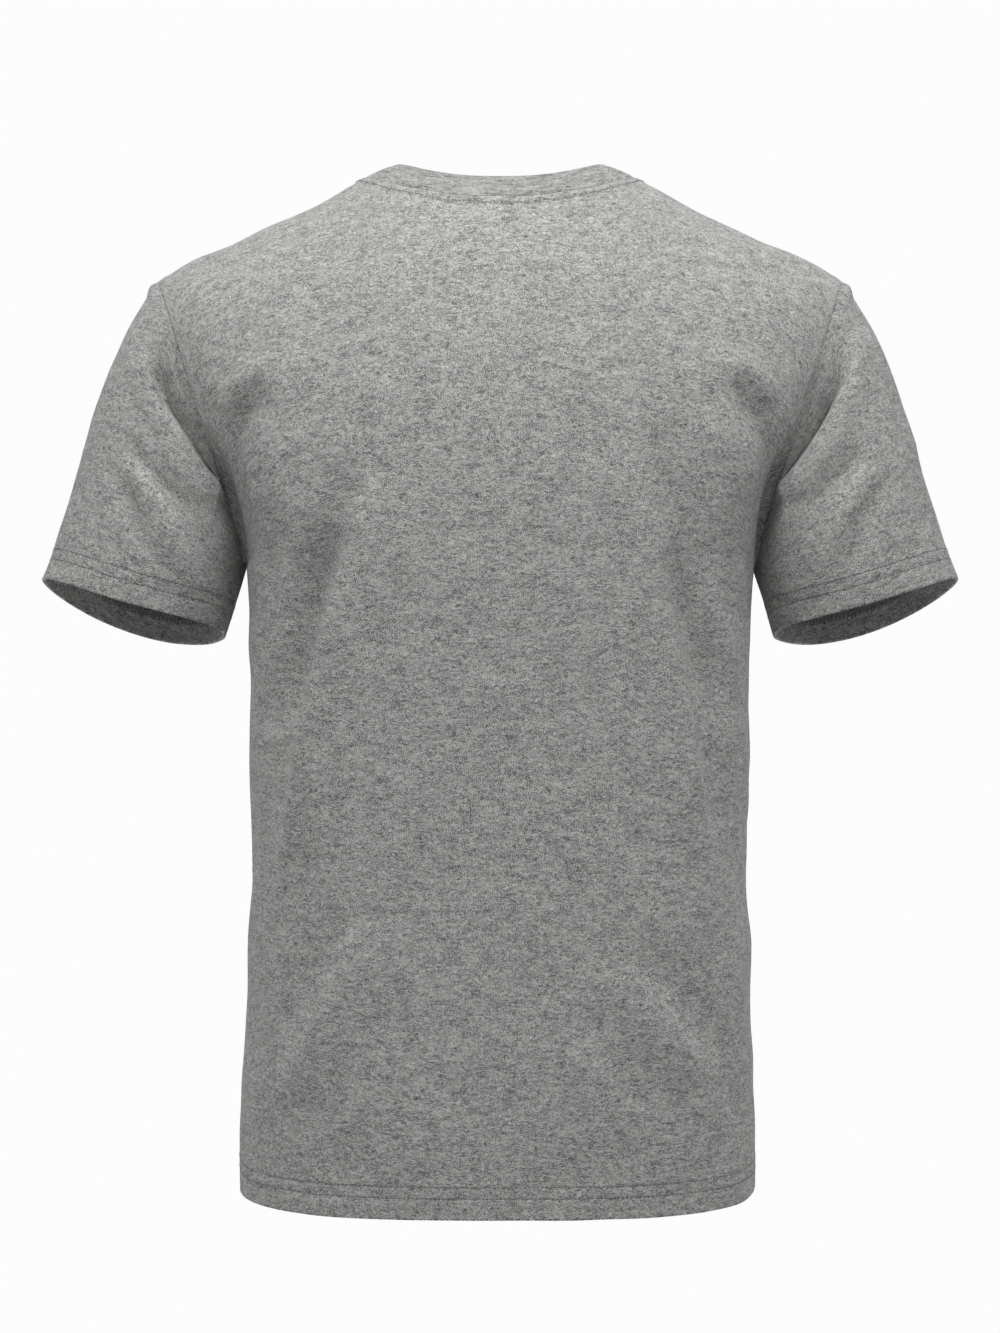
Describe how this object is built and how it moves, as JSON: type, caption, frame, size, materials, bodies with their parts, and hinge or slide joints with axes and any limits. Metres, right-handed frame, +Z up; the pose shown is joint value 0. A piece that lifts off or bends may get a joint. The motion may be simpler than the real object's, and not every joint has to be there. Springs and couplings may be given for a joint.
{
  "type": "crew neck t-shirt",
  "caption": "Short-sleeved crew neck t-shirt in heather grey jersey with a rib neckband, filled out as worn, hollow and open at neck, hem and cuffs.",
  "frame": {"origin": "midway between the two high shoulder points, where the neckband meets the shoulder seams and the wearer's shoulders hold the shirt up", "axes": "+Z up along the wearer, +X to the wearer's left, -Y out of the front and +Y out of the back"},
  "size_m": [0.6356, 0.2493, 0.7141],
  "materials": {
    "jersey": "heather grey single jersey, matt",
    "rib": "heather grey fine rib, matt"
  },
  "bodies": {
    "root": {"back": "jersey", "front": "jersey", "sleeve_left": "jersey", "sleeve_right": "jersey", "neckband": "rib"}
  },
  "joints": []
}
